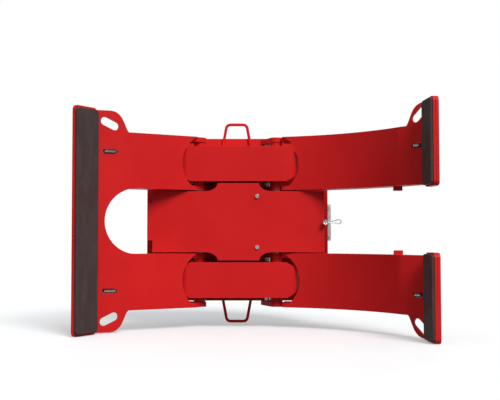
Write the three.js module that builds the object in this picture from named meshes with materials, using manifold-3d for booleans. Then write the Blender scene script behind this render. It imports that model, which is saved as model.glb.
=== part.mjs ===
// Rotating roll clamp: a short one-piece arm on the left and two split long arms on the right.
// Units are millimetres. +Z is up, the clamping side faces -Y, +X is to the right.
// The origin is the centre of the rear mounting face, on the axis the clamp turns about.
import * as THREE from 'three';
import { mergeVertices } from 'three/addons/utils/BufferGeometryUtils.js';
import Module from 'manifold-3d';

const wasm = await Module();
wasm.setup();

// ---- driving dimensions ----
const GAP = 0.3;                  // clearance between touching pieces
const PIN = { x: 172, y: -265, r: 18 };        // vertical arm pivots, left and right of the axis
const ARM = { inner: 140, outer: 377, skin: 14, web: 20 };   // arm edges above and below the middle
const LEVER = { r: 105, deg: 20, pinR: 14.5, tubeR: 25 };    // lever behind each arm pivot
const EAR_R = 30;                 // round end of each arm plate about its pivot
const BRACKET = { low: 179, high: 334, lugR: 66, plate: 18, wrap: 12, endShift: 48 };
const REAR = { halfW: 420, top: 391, bottom: -362, back: -95.3, front: -117.3, hole: 70 };
const COVER = { halfW: 378, halfH: 134, neckH: 170, neckHalf: 91, back: -323, front: -335 };
const MOUNT = { halfW: 350, halfH: 254, thick: 25 };
const RING = { teeth: 64, pinionTeeth: 12, module: 8, race: 205, bore: 150, back: -33, front: -95 };
const MOUTH = { r: 130, s: -21, z: 258.5 };    // round mouth of each arm skin round the bracket's end
const PAD = { halfH: 469, low: 127, rubber: 14, plate: 9, rim: 3 };
const CYL = { anchor: 200, r: 38, bore: 28, rod: 18, eyeClear: 4 };
const SHORT_BEND = [-460, -475];  // fold of the short arm's skin
const SHORT_END = [-612, -530];   // free end of the short arm's end plate
const LONG_ARC = { cx: 19.5, cy: -1015.6, r: 720, start: 78.5, end: 28.9 };  // plan curve of a long arm
const LONG_END = [750, -758];     // free end of a long arm's end plate
const SHORT_HINGE = [-652, -572]; // pad hinge of the short arm
const LONG_HINGE = [757, -797];   // pad hinge of a long arm
const SEG = 22;                   // facets of a full circle

const RED = 0xc42122;
const DARK = 0x3f3a38;
const RUBBER = 0x463230;
const STEEL = 0xb9bcc0;
const GREY = 0xaeb1b2;

// ---- small helpers ----
const rad = (deg) => (deg * Math.PI) / 180;

function toSolid(geometry) {
  const plain = geometry.index ? geometry.toNonIndexed() : geometry.clone();
  plain.deleteAttribute('normal');
  plain.deleteAttribute('uv');
  const merged = mergeVertices(plain, 1e-4);
  const mesh = new wasm.Mesh({
    numProp: 3,
    vertProperties: new Float32Array(merged.attributes.position.array),
    triVerts: new Uint32Array(merged.index.array),
  });
  return new wasm.Manifold(mesh);
}

function toGeometry(solid) {
  const mesh = solid.getMesh();
  const geometry = new THREE.BufferGeometry();
  geometry.setAttribute('position', new THREE.BufferAttribute(new Float32Array(mesh.vertProperties), 3));
  geometry.setIndex(new THREE.BufferAttribute(new Uint32Array(mesh.triVerts), 1));
  geometry.computeVertexNormals();
  return geometry;
}

const union = (...solids) => solids.reduce((sum, solid) => sum.add(solid));

const without = (solid, ...cuts) => cuts.reduce((rest, cut) => rest.subtract(cut), solid);

function shapeOf(points, holes = []) {
  const shape = new THREE.Shape(points.map(([x, y]) => new THREE.Vector2(x, y)));
  holes.forEach((hole) => {
    shape.holes.push(new THREE.Path(hole.map(([x, y]) => new THREE.Vector2(x, y))));
  });
  return shape;
}

// A plan outline (X, Y) raised from z0 to z1.
function plan(points, z0, z1) {
  const geometry = new THREE.ExtrudeGeometry(shapeOf(points), { depth: z1 - z0, bevelEnabled: false });
  return toSolid(geometry.translate(0, 0, z0));
}

// An elevation outline (X, Z) pulled from yBack towards the front by depth.
function elevation(points, yBack, depth, holes = []) {
  const geometry = new THREE.ExtrudeGeometry(shapeOf(points, holes), { depth, bevelEnabled: false });
  return toSolid(geometry.rotateX(Math.PI / 2).translate(0, yBack, 0));
}

function box(x0, x1, y0, y1, z0, z1) {
  const geometry = new THREE.BoxGeometry(x1 - x0, y1 - y0, z1 - z0);
  return toSolid(geometry.translate((x0 + x1) / 2, (y0 + y1) / 2, (z0 + z1) / 2));
}

function circle(cx, cy, r, seg = SEG, from = 0, to = 360) {
  const closed = to - from >= 360;
  const count = closed ? seg : seg + 1;
  return Array.from({ length: count }, (_, i) => {
    const a = rad(from + ((to - from) * i) / seg);
    return [cx + r * Math.cos(a), cy + r * Math.sin(a)];
  });
}

// A round bar along Z, X or Y, given by its middle line.
const rodZ = (x, y, r, z0, z1, seg = SEG) => plan(circle(x, y, r, seg), z0, z1);

const rodY = (x, z, r, yBack, depth, seg = SEG) => elevation(circle(x, z, r, seg), yBack, depth);

function rodX(y, z, r, x0, x1, seg = SEG) {
  const geometry = new THREE.CylinderGeometry(r, r, x1 - x0, seg);
  return toSolid(geometry.rotateZ(Math.PI / 2).translate((x0 + x1) / 2, y, z));
}

// Convex outline around a set of circles [x, y, r].
function hull(circles) {
  const points = circles.flatMap(([x, y, r]) => circle(x, y, r, 18));
  points.sort((a, b) => a[0] - b[0] || a[1] - b[1]);
  const cross = (o, a, b) => (a[0] - o[0]) * (b[1] - o[1]) - (a[1] - o[1]) * (b[0] - o[0]);
  const half = (list) => {
    const chain = [];
    list.forEach((p) => {
      while (chain.length > 1 && cross(chain[chain.length - 2], chain[chain.length - 1], p) <= 1e-6) chain.pop();
      chain.push(p);
    });
    return chain.slice(0, -1);
  };
  return [...half(points), ...half([...points].reverse())];
}

// A flat upright plate whose front face runs from a to b in plan. Its outline is given as
// (distance along the plate, height), and it is as thick as stated, behind the front face.
function uprightPlate(a, b, outline, thick, holes = []) {
  const geometry = new THREE.ExtrudeGeometry(shapeOf(outline, holes), { depth: thick, bevelEnabled: false });
  const heading = Math.atan2(b[1] - a[1], b[0] - a[0]);
  const flip = b[0] < a[0];
  geometry.rotateX(Math.PI / 2);
  geometry.translate(0, flip ? 0 : thick, 0);
  return toSolid(geometry.rotateZ(heading).translate(a[0], a[1], 0));
}

const mirrorZ = (solid) => solid.mirror([0, 0, 1]);

const distance = (a, b) => Math.hypot(b[0] - a[0], b[1] - a[1]);

const along = (a, b, d) => {
  const length = distance(a, b);
  return [a[0] + ((b[0] - a[0]) * d) / length, a[1] + ((b[1] - a[1]) * d) / length];
};

// Rounded slot outline, tilted, for the carrying holes in the end plates.
function slot(cx, cy, length, width, deg, seg = 8) {
  const half = (length - width) / 2;
  const dx = half * Math.cos(rad(deg));
  const dy = half * Math.sin(rad(deg));
  const first = circle(cx + dx, cy + dy, width / 2, seg, deg - 90, deg + 90);
  const second = circle(cx - dx, cy - dy, width / 2, seg, deg + 90, deg + 270);
  return [...first, ...second];
}

const root = new THREE.Group();
root.name = 'roll_clamp';

function addPiece(name, solid, color, roughness, metalness) {
  const material = new THREE.MeshStandardMaterial({ color, roughness, metalness });
  const mesh = new THREE.Mesh(toGeometry(solid), material);
  mesh.name = name;
  root.add(mesh);
}

const addPainted = (name, solid) => addPiece(name, solid, RED, 0.38, 0.1);

// Adds a piece above the middle and its mirror image below it.
function addPair(name, solid, add = addPainted) {
  add(`${name}_upper`, solid);
  add(`${name}_lower`, mirrorZ(solid));
}

const addSteel = (name, solid) => addPiece(name, solid, STEEL, 0.3, 0.9);

// ---- truck side: mounting plate, hooks, bearing race, drive ----
const plateCorner = 40;
const mountOutline = [
  [-MOUNT.halfW + plateCorner, -MOUNT.halfH], [MOUNT.halfW - plateCorner, -MOUNT.halfH],
  [MOUNT.halfW, -MOUNT.halfH + plateCorner], [MOUNT.halfW, MOUNT.halfH - plateCorner],
  [MOUNT.halfW - plateCorner, MOUNT.halfH], [-MOUNT.halfW + plateCorner, MOUNT.halfH],
  [-MOUNT.halfW, MOUNT.halfH - plateCorner], [-MOUNT.halfW, -MOUNT.halfH + plateCorner],
];
addPiece('mounting_plate', elevation(mountOutline, 0, MOUNT.thick), DARK, 0.5, 0.2);

// Side outline (Y, Z) of a hook pulled along X.
function hookSolid(outline, x0, width) {
  const geometry = new THREE.ExtrudeGeometry(shapeOf(outline), { depth: width, bevelEnabled: false });
  // Shape x becomes Y and shape y becomes Z.
  geometry.applyMatrix4(new THREE.Matrix4().set(0, 0, 1, 0, 1, 0, 0, 0, 0, 1, 0, 0, 0, 0, 0, 1));
  return toSolid(geometry.translate(x0, 0, 0));
}
const hookTop = MOUNT.halfH + GAP;
const upperHook = [
  [-MOUNT.thick, hookTop], [GAP, hookTop], [GAP, hookTop + 12], [20, hookTop + 12], [22, hookTop + 8], [22, hookTop - 14],
  [44, hookTop - 14], [44, hookTop + 22], [34, hookTop + 32], [-15, hookTop + 32], [-MOUNT.thick, hookTop + 20],
];
const lowerHook = [
  [-MOUNT.thick, -hookTop], [-MOUNT.thick, -hookTop - 18], [-12, -hookTop - 28], [40, -hookTop - 28],
  [40, -hookTop + 6], [22, -hookTop + 6], [22, -hookTop - 8], [20, -hookTop - 12], [GAP, -hookTop - 12], [GAP, -hookTop],
];
addPiece('upper_hook', hookSolid(upperHook, -260, 520), DARK, 0.5, 0.2);
[-1, 1].forEach((side) => {
  const label = side < 0 ? 'left' : 'right';
  addPiece(`lower_hook_${label}`, hookSolid(lowerHook, side * 190 - 50, 100), DARK, 0.5, 0.2);
});

const raceStart = -MOUNT.thick - GAP;
const raceDepth = 62;
const innerRace = without(
  union(rodY(0, 0, RING.race - 6, raceStart, 6, 48), rodY(0, 0, RING.race, raceStart - 6, raceDepth - 6, 48)),
  rodY(0, 0, RING.bore, 0, 200, 48),
);
addSteel('bearing_inner_race', innerRace);

// Spur gear outline with straight-flanked teeth, thinned for running clearance.
function gearOutline(teeth, module, phase) {
  const pitch = (teeth * module) / 2;
  const outer = pitch + 0.9 * module;
  const inner = pitch - 1.15 * module;
  const step = 360 / teeth;
  const tooth = [[inner, -0.31], [pitch, -0.225], [outer, -0.11], [outer, 0.11], [pitch, 0.225], [inner, 0.31]];
  return Array.from({ length: teeth }, (_, i) => tooth.map(([r, f]) => {
    const a = rad(phase + step * (i + f));
    return [r * Math.cos(a), r * Math.sin(a)];
  })).flat();
}
const ringPitch = (RING.teeth * RING.module) / 2;
const pinionPitch = (RING.pinionTeeth * RING.module) / 2;
const pinionX = ringPitch + pinionPitch + 0.6;
const ringGear = elevation(
  gearOutline(RING.teeth, RING.module, 0), RING.back, RING.back - RING.front, [circle(0, 0, RING.race + 0.5, 48)],
);
addSteel('bearing_gear_ring', ringGear);

const pinionTooth = gearOutline(RING.pinionTeeth, RING.module, 180 + 180 / RING.pinionTeeth);
const pinion = union(
  elevation(pinionTooth, -44, 44),
  rodY(0, 0, 20, -28, 17),
).translate([pinionX, 0, 0]);
addSteel('drive_pinion', pinion);

const housing = without(
  box(262, 438, -92, raceStart, -85, 85),
  rodY(0, 0, ringPitch + 0.9 * RING.module + 4, RING.back + 4, 100, 64),
  rodY(pinionX, 0, pinionPitch + 0.9 * RING.module + 4, -40, 100, 32),
  rodY(pinionX, 0, 20.4, -20, 60, 20),
);
addPiece('drive_housing', housing, GREY, 0.45, 0.4);
const motor = union(
  rodZ(372, -58, 30, 85 + GAP, 205),
  box(345, 399, -86, -30, 85 + GAP, 103),
  rodZ(372, -58, 22, 205, 226),
);
addPiece('drive_motor', motor, GREY, 0.45, 0.5);
const unionBody = union(
  rodY(0, 0, 58, raceStart, 30),
  rodY(0, 0, 44, raceStart - 30, 58),
);
addPiece('rotary_union', unionBody, GREY, 0.4, 0.6);

// ---- clamp frame ----
const rearCut = 70;
const rearOutline = [
  [-REAR.halfW + rearCut, REAR.bottom], [REAR.halfW - rearCut, REAR.bottom],
  [REAR.halfW, REAR.bottom + rearCut], [REAR.halfW, REAR.top - rearCut],
  [REAR.halfW - rearCut, REAR.top], [-REAR.halfW + rearCut, REAR.top],
  [-REAR.halfW, REAR.top - rearCut], [-REAR.halfW, REAR.bottom + rearCut],
];
const rearHole = circle(0, 0, REAR.hole, 32);
const rearPlate = elevation(rearOutline, REAR.back, REAR.back - REAR.front, [rearHole]);

// Bracket that carries the arm pivots: two lug plates joined by a wrapped front.
const bracketBack = REAR.front - GAP;
const anchorY = PIN.y + LEVER.r * Math.cos(rad(LEVER.deg));
const leverX = PIN.x - LEVER.r * Math.sin(rad(LEVER.deg));
// Plan of the bracket's rounded ends, drawn in by `inset` all round.
const nose = (inset) => hull([-1, 1].flatMap((side) => [
  [side * PIN.x, PIN.y, BRACKET.lugR - inset],
  [side * (PIN.x + BRACKET.endShift), PIN.y - 16, BRACKET.lugR - 16 - inset],
]));
// Front view of the bracket, whose ends follow the round mouths of the arm skins.
const bracketMid = (BRACKET.low + BRACKET.high) / 2;
const bracketHalf = (BRACKET.high - BRACKET.low) / 2;
const endRun = Array.from({ length: 13 }, (_, i) => {
  const dz = -bracketHalf + (2 * bracketHalf * i) / 12;
  const mouthReach = Math.sqrt(MOUTH.r ** 2 - (bracketMid + dz - MOUTH.z) ** 2) + MOUTH.s;
  const inset = 8 + 34 * Math.abs(dz / bracketHalf) ** 3;
  return [PIN.x + mouthReach - inset, bracketMid + dz];
});
const faceOutline = [...endRun, ...[...endRun].reverse().map(([x, z]) => [-x, z])];
const lugBody = [
  [-PIN.x - BRACKET.lugR + 8, bracketBack], [-PIN.x - BRACKET.lugR + 8, PIN.y], [85, PIN.y], [85, bracketBack],
];

const wrapBack = PIN.y + 20;
const wrap = without(
  plan(nose(0), BRACKET.low, BRACKET.high),
  plan(nose(BRACKET.wrap), BRACKET.low - 1, BRACKET.high + 1),
  box(-300, 300, wrapBack, 0, BRACKET.low - 1, BRACKET.high + 1),
);
const lugHeightsOf = [[BRACKET.low, BRACKET.low + BRACKET.plate], [BRACKET.high - BRACKET.plate, BRACKET.high]];
const bracket = without(
  union(
    union(...lugHeightsOf.map(([z0, z1]) => plan(nose(0), z0, z1)), wrap).intersect(elevation(faceOutline, 0, 400)),
    ...lugHeightsOf.map(([z0, z1]) => plan(lugBody, z0, z1)),
  ),
  rodZ(-PIN.x, PIN.y, PIN.r + GAP, 100, 400),
  rodZ(PIN.x, PIN.y, PIN.r + GAP, 100, 400),
  rodZ(-CYL.anchor, anchorY, LEVER.pinR + GAP, 100, 400),
);
addPair('pivot_bracket', bracket);

const coverWebs = [-262, 250].map((x0) => without(
  box(x0, x0 + 12, COVER.back - 4, bracketBack, -COVER.halfH + 4, COVER.halfH - 4),
  rodX((COVER.back + bracketBack) / 2, 0, 60, x0 - 5, x0 + 20, 20),
));

// Front cover: a plain panel whose middle steps up between the round ends of the arm plates.
const stepX = 148;
const quarter = Array.from({ length: 7 }, (_, i) => {
  const a = rad(90 * (i / 6));
  return [
    stepX - (stepX - COVER.neckHalf) * Math.cos(a),
    COVER.neckH - (COVER.neckH - COVER.halfH) * Math.sin(a),
  ];
});
const edgeRun = [...quarter, [COVER.halfW, COVER.halfH]];
const sideTab = [[-COVER.halfW, 82], [-COVER.halfW - 19, 82], [-COVER.halfW - 19, -82], [-COVER.halfW, -82]];
const flipped = (list, sx, sz) => list.map(([x, z]) => [x * sx, z * sz]);
const coverOutline = [
  ...edgeRun,
  ...flipped(edgeRun, 1, -1).reverse(),
  ...flipped(edgeRun, -1, -1),
  ...[...sideTab].reverse(),
  ...flipped(edgeRun, -1, 1).reverse(),
];
const boltHoles = [112, -112].map((z) => circle(82, z, 6.5, 16));
const coverPanel = elevation(coverOutline, COVER.back, COVER.back - COVER.front, boltHoles);
addPainted('front_cover', union(coverPanel, ...coverWebs));
[['upper', 112], ['lower', -112]].forEach(([label, z]) => {
  const bolt = union(rodY(82, z, 6, COVER.back + 4, 17, 16), rodY(82, z, 10, COVER.front - GAP, 7, 6));
  addSteel(`cover_bolt_${label}`, bolt);
});

// Bent round-bar loop above the frame.
function loopGeometry() {
  const path = new THREE.CurvePath();
  const y = REAR.front - GAP - 7.1;
  const corners = [[-70, 341], [-49, 456], [43, 456], [64, 341]];
  const bend = 18;
  const v = ([x, z]) => new THREE.Vector3(x, y, z);
  const before = (i) => along(corners[i], corners[i - 1], bend);
  const after = (i) => along(corners[i], corners[i + 1], bend);
  path.add(new THREE.LineCurve3(v(corners[0]), v(before(1))));
  path.add(new THREE.QuadraticBezierCurve3(v(before(1)), v(corners[1]), v(after(1))));
  path.add(new THREE.LineCurve3(v(after(1)), v(before(2))));
  path.add(new THREE.QuadraticBezierCurve3(v(before(2)), v(corners[2]), v(after(2))));
  path.add(new THREE.LineCurve3(v(after(2)), v(corners[3])));
  return new THREE.ExtrudeGeometry(shapeOf(circle(0, 0, 7, 8)), { steps: 28, extrudePath: path });
}
addPair('hand_loop', toSolid(loopGeometry()));

[-1, 1].forEach((side) => {
  const name = side < 0 ? 'short_arm_pin' : 'long_arm_pin';
  addPair(name, rodZ(side * PIN.x, PIN.y, PIN.r, ARM.inner - 4, ARM.outer), addSteel);
});

addPair('cylinder_anchor_pin', rodZ(-CYL.anchor, anchorY, LEVER.pinR, BRACKET.low - 2, BRACKET.high + 2), addSteel);
addSteel('cylinder_anchor_pin_middle', rodZ(CYL.anchor, anchorY, LEVER.pinR, -52, 52));
const anchorPlate = (z0, z1) => plan([
  [CYL.anchor - 30, REAR.front + 4], [CYL.anchor - 30, anchorY - 26], [CYL.anchor - 16, anchorY - 40],
  [CYL.anchor + 16, anchorY - 40], [CYL.anchor + 30, anchorY - 26], [CYL.anchor + 30, REAR.front + 4],
], z0, z1);
// The two lugs of the middle cylinder are welded to the rear plate.
addPainted('rear_plate', without(
  union(rearPlate, anchorPlate(-48, -30), anchorPlate(30, 48)),
  rodZ(CYL.anchor, anchorY, LEVER.pinR + GAP, -100, 100),
));

// Locking pin with a ball head and a spring clip at the right edge of the cover.
const lockPin = union(
  rodY(377, -3, 6, COVER.front - GAP, 14, 16),
  toSolid(new THREE.SphereGeometry(13, 18, 12).translate(377, COVER.front - 22, -3)),
);
addSteel('lock_pin', lockPin);
const clipY = COVER.front - 22;
const clip = without(
  elevation([[390.5, -6], [434, -12], [449, -9], [452, 0], [449, 7], [434, 11], [390.5, 0]], clipY + 2.5, 5),
  elevation([[400, -4], [434, -7], [443, -5], [445, 0], [443, 3], [434, 6], [400, -2]], clipY + 10, 25),
);
addSteel('spring_clip', clip);

// ---- short arm: one skin joins the upper and lower halves ----
const shortDir = [-0.877, -0.481];
const shortFoot = [-PIN.x + 22, PIN.y - 40];
const shortLen = distance(shortFoot, SHORT_BEND);
const topZ = 466;
const mouth = circle(MOUTH.s, MOUTH.z, MOUTH.r, 40);
const REACH = 60;                 // how far a cutting shape runs past both faces of a plate

// A cutter through a plate whose front face runs from a to b in plan.
function cutter(a, b, outline) {
  const length = distance(a, b);
  const side = b[0] < a[0] ? -1 : 1;
  const shift = [(side * (b[1] - a[1]) * REACH) / length, (-side * (b[0] - a[0]) * REACH) / length, 0];
  return uprightPlate(a, b, outline, ARM.skin + 2 * REACH).translate(shift);
}
const rect = (s0, s1, z0, z1) => [[s0, z0], [s1, z0], [s1, z1], [s0, z1]];

// Unit vector pointing to the back of a plate that runs from a to b.
function backNormal(a, b) {
  const length = distance(a, b);
  const side = b[0] < a[0] ? -1 : 1;
  return [(-side * (b[1] - a[1])) / length, (side * (b[0] - a[0])) / length];
}
function foldedBack(fold, n1, n2) {
  const k = ARM.skin / (1 + n1[0] * n2[0] + n1[1] * n2[1]);
  return [fold[0] + (n1[0] + n2[0]) * k, fold[1] + (n1[1] + n2[1]) * k];
}
const offset = (p, n, d) => [p[0] + n[0] * d, p[1] + n[1] * d];
// Shoulder of an end plate: a small hollow fillet, a steep rise and a round top.
function earCurve(start, rise) {
  const ends = [[start, ARM.outer], [start + 0.24 * rise, ARM.outer + 8], [start + 0.26 * rise, topZ - 4], [start + rise, topZ]];
  return Array.from({ length: 11 }, (_, i) => {
    const t = i / 10;
    const k = [(1 - t) ** 3, 3 * t * (1 - t) ** 2, 3 * t * t * (1 - t), t ** 3];
    return [0, 1].map((j) => ends.reduce((sum, end, n) => sum + k[n] * end[j], 0));
  });
}
// What is cut away above the arm up to the curved shoulder of its end plate.
const earWaste = (start, rise) => [
  [-12, ARM.outer], ...earCurve(start, rise), [start + rise, topZ + 20], [-12, topZ + 20],
];
const bothHalves = (solid) => [solid, mirrorZ(solid)];

// The window's round end is centred this far along the end plate, before its fold.
const WINDOW = -30;
const windowEdge = Math.sqrt(ARM.inner ** 2 - (WINDOW - 2) ** 2);
const n1 = backNormal(shortFoot, SHORT_BEND);
const n2 = backNormal(SHORT_BEND, SHORT_END);
const shortPlan = [
  along(shortFoot, SHORT_BEND, -6), SHORT_BEND, SHORT_END, offset(SHORT_END, n2, ARM.skin),
  foldedBack(SHORT_BEND, n1, n2), offset(along(shortFoot, SHORT_BEND, -6), n1, ARM.skin),
];
addPainted('short_arm_skin', without(
  plan(shortPlan, -topZ, topZ),
  ...bothHalves(cutter(shortFoot, SHORT_BEND, rect(-30, shortLen + 3, ARM.outer, topZ + 20))),
  ...bothHalves(cutter(shortFoot, SHORT_BEND, mouth)),
  ...bothHalves(cutter(SHORT_BEND, SHORT_END, earWaste(6, 78))),
  cutter(shortFoot, SHORT_BEND, [
    [-30, -ARM.inner], [shortLen + WINDOW, -ARM.inner], [shortLen + 2, -windowEdge], [shortLen + 2, windowEdge],
    [shortLen + WINDOW, ARM.inner], [-30, ARM.inner],
  ]),
  cutter(SHORT_BEND, SHORT_END, circle(WINDOW, 0, ARM.inner, 32, -81, 81)),
  ...bothHalves(cutter(SHORT_BEND, SHORT_END, slot(90, 411, 82, 36, 25))),
  ...bothHalves(cutter(SHORT_BEND, SHORT_END, slot(88, 293, 64, 20, 0))),
));

// The space taken up by an end plate, with clearance, used to cut the plates behind it.
function endZone(a, b) {
  const length = distance(a, b);
  const depth = 40;
  const side = b[0] < a[0] ? -1 : 1;
  const nx = (side * -(b[1] - a[1])) / length;
  const ny = (side * (b[0] - a[0])) / length;
  const outline = [[-GAP, -500], [length + GAP, -500], [length + GAP, 500], [-GAP, 500]];
  return uprightPlate(a, b, outline, ARM.skin + GAP + depth).translate([-nx * depth, -ny * depth, 0]);
}

// Horizontal plates of an arm, from the pivot lever to the pad hinge.
const slabBehind = (a, b, side, depth) => {
  const length = distance(a, b);
  const nx = (side * -(b[1] - a[1])) / length;
  const ny = (side * (b[0] - a[0])) / length;
  return [[a[0] + nx * depth, a[1] + ny * depth], [b[0] + nx * depth, b[1] + ny * depth]];
};
const bossR = 26;
const shortBack1 = slabBehind(shortFoot, SHORT_BEND, -1, ARM.skin + GAP);
const shortBack2 = slabBehind(SHORT_BEND, SHORT_END, -1, ARM.skin + GAP);
const shortWebOutline = [
  shortBack1[0], [-466.2, -461.2], along(shortBack2[1], shortBack2[0], 1),
  [-634, -506], [-560, -435], [-470, -375], [-215, -222], [-172, -222], [-150, -265],
];
function leverHull(side, r) {
  return hull([[side * PIN.x, PIN.y, 30], [side * leverX, anchorY, r]]);
}
function shortWeb(z0, z1, lever, bossLow, bossHigh) {
  const earRing = rodZ(-PIN.x, PIN.y, EAR_R, z0, z1);
  const skinZone = uprightPlate(
    shortFoot, SHORT_BEND,
    [[-6.5, z0 - 1], [shortLen + 20, z0 - 1], [shortLen + 20, z1 + 1], [-6.5, z1 + 1]], ARM.skin + GAP + 40,
  ).translate([-shortDir[1] * 40, shortDir[0] * 40, 0]);
  const tip = plan(hull([[-628, -508, 11], [...SHORT_HINGE, 14]]), z0, z1);
  const body = union(
    without(union(earRing, plan(shortWebOutline, z0, z1), tip), skinZone, endZone(SHORT_BEND, SHORT_END)),
    rodZ(-PIN.x, PIN.y, bossR, bossLow, bossHigh),
  );
  const levered = lever ? body.add(plan(leverHull(-1, 34), z0, z1)) : body;
  const pinHole = rodZ(-PIN.x, PIN.y, PIN.r + GAP, z0 - 50, z1 + 50);
  const hingeHole = rodZ(...SHORT_HINGE, 8 + GAP, z0 - 5, z1 + 5, 16);
  const tubeHole = rodZ(-leverX, anchorY, LEVER.tubeR + GAP, z0 - 5, z1 + 5);
  return lever ? without(levered, pinHole, hingeHole, tubeHole) : without(levered, pinHole, hingeHole);
}
const innerWeb = [ARM.inner, ARM.inner + ARM.web];
const outerWeb = [ARM.outer - ARM.web, ARM.outer];
const innerBoss = [ARM.inner + 2, BRACKET.low - GAP];
const outerBoss = [BRACKET.high + GAP, ARM.outer - 2];
addPair('short_arm_web_inner', shortWeb(...innerWeb, true, ...innerBoss));
addPair('short_arm_web_outer', shortWeb(...outerWeb, false, ...outerBoss));
addPainted('short_arm_lever_tube', without(
  rodZ(-leverX, anchorY, LEVER.tubeR, -ARM.inner - ARM.web, ARM.inner + ARM.web),
  rodZ(-leverX, anchorY, LEVER.tubeR - 9, -200, 200),
));

// ---- long arms: one curved arm above the middle and one below ----
const arcPoint = (r, deg) => [
  LONG_ARC.cx + r * Math.cos(rad(deg)), LONG_ARC.cy + r * Math.sin(rad(deg)),
];
const arcSteps = 18;
const arcDegs = Array.from({ length: arcSteps + 1 }, (_, i) => (
  LONG_ARC.start + 0.6 - ((LONG_ARC.start + 0.6 - LONG_ARC.end) * i) / arcSteps
));
const arcEnd = arcPoint(LONG_ARC.r, LONG_ARC.end);
const longEndLen = distance(arcEnd, LONG_END);
const m1 = [Math.cos(rad(LONG_ARC.end)), Math.sin(rad(LONG_ARC.end))];
const m2 = backNormal(arcEnd, LONG_END);
const longPlan = [
  ...arcDegs.map((deg) => arcPoint(LONG_ARC.r, deg)), LONG_END, offset(LONG_END, m2, ARM.skin),
  foldedBack(arcEnd, m1, m2),
  ...arcDegs.slice(0, -1).reverse().map((deg) => arcPoint(LONG_ARC.r + ARM.skin, deg)),
];
const arcWaste = [
  ...arcDegs.map((deg) => arcPoint(LONG_ARC.r - 30, deg + 0.05)),
  offset(arcEnd, [0.483, -0.876], 3), offset(offset(arcEnd, [0.483, -0.876], 3), m1, 60),
  ...[...arcDegs].reverse().map((deg) => arcPoint(LONG_ARC.r + 60, deg + 0.05)),
];
const longMouthFoot = arcPoint(LONG_ARC.r, LONG_ARC.start);
const longMouthNext = arcPoint(LONG_ARC.r, LONG_ARC.start - 8);
const longSkin = without(
  plan(longPlan, ARM.inner, topZ),
  plan(arcWaste, ARM.outer, topZ + 20),
  cutter(longMouthFoot, longMouthNext, mouth),
  cutter(arcEnd, LONG_END, earWaste(20, 76)),
  cutter(arcEnd, LONG_END, slot(79, 420, 78, 34, 44)),
  cutter(arcEnd, LONG_END, slot(68, 296, 44, 20, 0)),
);
addPair('long_arm_skin', longSkin);

const webDepth = (i) => 88 - 30 * (i / arcSteps);
const webDegs = arcDegs.slice(1);
const longBack = slabBehind(arcEnd, LONG_END, 1, ARM.skin + GAP);
const longWebOutline = [
  ...webDegs.map((deg) => arcPoint(LONG_ARC.r + ARM.skin + GAP, deg)).slice(0, -1),
  [longBack[0][0] + 2, longBack[0][1] + 1], longBack[1],
  [775, -738], [742, -690],
  ...webDegs.map((deg, i) => arcPoint(LONG_ARC.r + ARM.skin + webDepth(i + 1), deg)).reverse(),
];
function longWeb(z0, z1, bossLow, bossHigh, tab) {
  const zoneDegs = [arcDegs[0] + 0.06, ...arcDegs];
  const skinZone = plan([
    ...zoneDegs.map((deg) => arcPoint(LONG_ARC.r - 40, deg)),
    ...[...zoneDegs].reverse().map((deg) => arcPoint(LONG_ARC.r + ARM.skin + 2 * GAP, deg)),
  ], z0 - 1, z1 + 1);
  const parts = [
    without(
      union(
        rodZ(PIN.x, PIN.y, EAR_R, z0, z1),
        plan(longWebOutline, z0, z1),
        plan(hull([[766, -744, 8], [...LONG_HINGE, 12]]), z0, z1),
      ),
      skinZone,
      endZone(arcEnd, LONG_END),
    ),
    plan(leverHull(1, 30), z0, z1),
    rodZ(PIN.x, PIN.y, bossR, bossLow, bossHigh),
  ];
  if (tab) {
    const [x, y] = arcPoint(LONG_ARC.r + ARM.skin + 26, 34);
    parts.push(box(x - 18, x + 18, y - 7, y + 7, z0 - 18, z0 + 2));
  }
  return without(
    union(...parts),
    rodZ(PIN.x, PIN.y, PIN.r + GAP, z0 - 50, z1 + 50),
    rodZ(leverX, anchorY, LEVER.pinR + GAP, z0 - 5, z1 + 5),
    rodZ(...LONG_HINGE, 6 + GAP, z0 - 5, z1 + 5, 16),
  );
}
addPair('long_arm_web_inner', longWeb(...innerWeb, ...innerBoss, true));
addPair('long_arm_web_outer', longWeb(...outerWeb, ...outerBoss, false));
addPair('long_arm_lever_pin', rodZ(leverX, anchorY, LEVER.pinR, ARM.inner - 3, ARM.outer + 3), addSteel);

// ---- pads: steel plate, rubber facing and hinge pin ----
const rounded = (x0, x1, z0, z1, r) => [
  ...circle(x1 - r, z1 - r, r, 4, 0, 90), ...circle(x0 + r, z1 - r, r, 4, 90, 180),
  ...circle(x0 + r, z0 + r, r, 4, 180, 270), ...circle(x1 - r, z0 + r, r, 4, 270, 360),
];
// A slab whose face runs from a to b in plan, set back from that face by offset.
function padSlab(a, b, outline, offset, thick) {
  const side = b[0] < a[0] ? 1 : -1;
  const length = distance(a, b);
  const nx = (side * (b[1] - a[1])) / length;
  const ny = (side * -(b[0] - a[0])) / length;
  const geometry = new THREE.ExtrudeGeometry(shapeOf(outline), { depth: thick, bevelEnabled: false });
  geometry.rotateX(Math.PI / 2);
  geometry.translate(0, side > 0 ? 0 : thick, 0);
  geometry.rotateZ(Math.atan2(b[1] - a[1], b[0] - a[0]));
  return toSolid(geometry.translate(a[0] + nx * offset, a[1] + ny * offset, 0));
}
const shortPadA = [-581, -555];
const shortPadB = [-656, -665];
const shortPadLen = distance(shortPadA, shortPadB);
const lugHeights = [[ARM.inner + ARM.web + 2, 22], [ARM.outer - ARM.web - 24, 22]];
function padLug(hinge, r, towards, z0, height) {
  return plan(hull([[...hinge, r], [...towards, 6]]), z0, z0 + height);
}
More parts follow.
